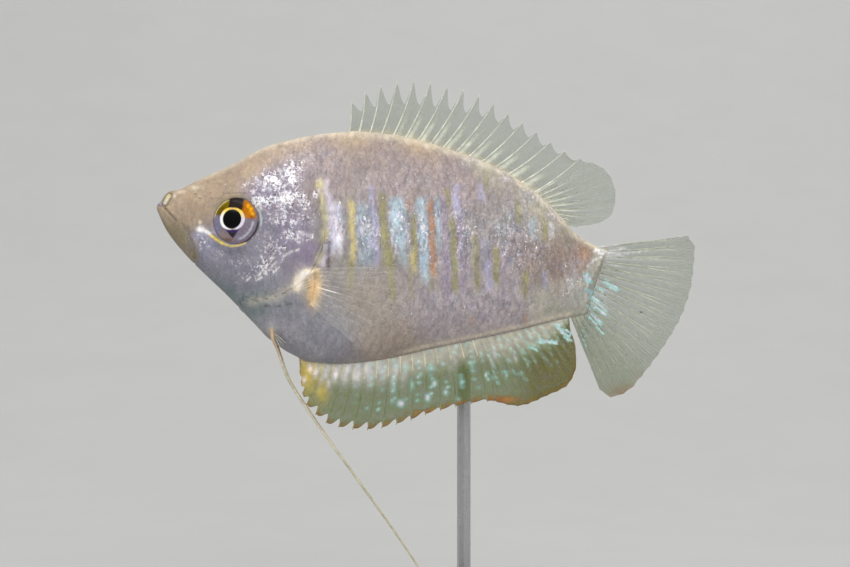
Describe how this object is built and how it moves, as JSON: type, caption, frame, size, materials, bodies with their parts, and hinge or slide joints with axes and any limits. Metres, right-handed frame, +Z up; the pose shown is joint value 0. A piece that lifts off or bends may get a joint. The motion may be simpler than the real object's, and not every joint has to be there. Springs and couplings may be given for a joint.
{
  "type": "dwarf gourami model",
  "caption": "Life-size still model of a small, deep-bodied labyrinth fish with spiny fins and long thread feelers, held level by a plain display stand.",
  "frame": {"origin": "middle of the stand base's underside", "axes": "+Z up; -X is the way the fish's head points; -Y is the fish's left side, which the picture shows"},
  "size_m": [0.062, 0.03, 0.0652],
  "materials": {
    "silver_skin": "wet pearly scales, silver to lilac, with yellow-olive and pale blue bars",
    "golden_eye": "clear gloss over a golden iris and a black pupil",
    "clear_fin": "thin clear greenish skin on pale rays",
    "olive_fin": "thin olive skin with turquoise spots and an orange edge",
    "dark_wood": "satin varnish",
    "steel_rod": "satin"
  },
  "bodies": {
    "root": {"head": "silver_skin", "lower_jaw": "silver_skin", "gill_cover_left": "silver_skin", "gill_cover_right": "silver_skin", "trunk": "silver_skin", "tail_stalk": "silver_skin", "eye_left": "golden_eye", "eye_right": "golden_eye", "dorsal_fin": "clear_fin", "anal_fin": "olive_fin", "caudal_fin": "clear_fin", "pectoral_fin_left": "clear_fin", "pectoral_fin_right": "clear_fin", "pelvic_thread_left": "clear_fin", "pelvic_thread_right": "clear_fin", "stand_base": "dark_wood", "stand_rod": "steel_rod"}
  },
  "joints": []
}
